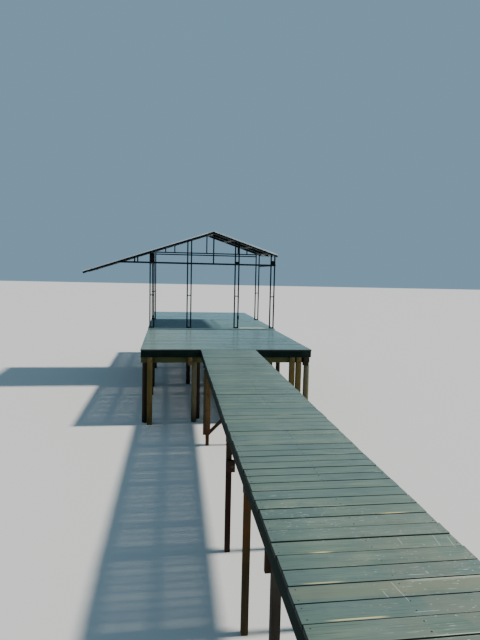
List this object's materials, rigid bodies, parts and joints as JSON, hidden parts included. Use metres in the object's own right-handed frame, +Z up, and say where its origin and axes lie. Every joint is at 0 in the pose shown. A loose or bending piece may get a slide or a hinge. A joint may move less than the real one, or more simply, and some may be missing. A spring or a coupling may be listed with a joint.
{
  "type": "timber lake jetty with canopy",
  "caption": "Boarded timber walkway on bents that leads to a wider platform and deck on piles, with a steel-tube canopy under a lopsided gable roof.",
  "frame": {"origin": "bottom centre of the whole jetty's box, at the level of the legs' feet", "axes": "+Y along the walkway towards the lake, +X to the right when walking out, +Z up"},
  "size_m": [5.77, 20.7264, 4.7932],
  "materials": {
    "deck_paint": "dark green deck paint on boards, satin, worn at the edges",
    "rim_paint": "dark green paint on rough sawn boards",
    "old_timber": "bare weathered softwood, reddish brown",
    "treated_timber": "bare pressure-treated softwood, yellow green",
    "pile_timber": "old round timber, grey brown",
    "black_steel": "black painted square steel tube",
    "roof_sheet": "ribbed zinc-aluminium coated steel sheet",
    "roof_trim": "light coated steel trim"
  },
  "bodies": {
    "root": {"walkway_deck": "deck_paint", "walkway_rim_left": "rim_paint", "walkway_rim_right": "rim_paint", "walkway_rim_end": "rim_paint", "walkway_joist": "old_timber", "walkway_crossbeams": "old_timber", "walkway_legs_left": "old_timber", "walkway_legs_right": "old_timber", "walkway_sister_boards": "old_timber", "walkway_brace": "old_timber", "platform_deck": "deck_paint", "platform_rim_front": "rim_paint", "platform_rim_left": "rim_paint", "platform_rim_right": "rim_paint", "platform_rim_back": "old_timber", "platform_joists": "old_timber", "platform_front_beam": "treated_timber", "platform_beams": "old_timber", "platform_posts": "treated_timber", "platform_corner_block": "pile_timber", "platform_old_piles": "pile_timber", "platform_piles": "pile_timber", "canopy_deck": "deck_paint", "rear_deck": "deck_paint", "upper_rim_front": "rim_paint", "upper_rim_left": "rim_paint", "upper_rim_right": "rim_paint", "upper_rim_back": "rim_paint", "upper_joists": "old_timber", "upper_beams": "old_timber", "upper_piles": "pile_timber", "canopy_posts_front": "black_steel", "canopy_posts_back": "black_steel", "canopy_chord": "black_steel", "canopy_ties": "black_steel", "canopy_webs": "black_steel", "canopy_head_plates": "black_steel", "canopy_eave_beams": "black_steel", "rafters_left": "black_steel", "rafters_right": "black_steel", "purlins_left": "black_steel", "purlins_right": "black_steel", "roof_sheet_left": "roof_sheet", "roof_sheet_right": "roof_sheet", "ridge_cap": "roof_trim", "rake_trim_left": "roof_trim", "rake_trim_right": "roof_trim", "eave_trims": "roof_trim", "mooring_cleat": "black_steel"}
  },
  "joints": []
}
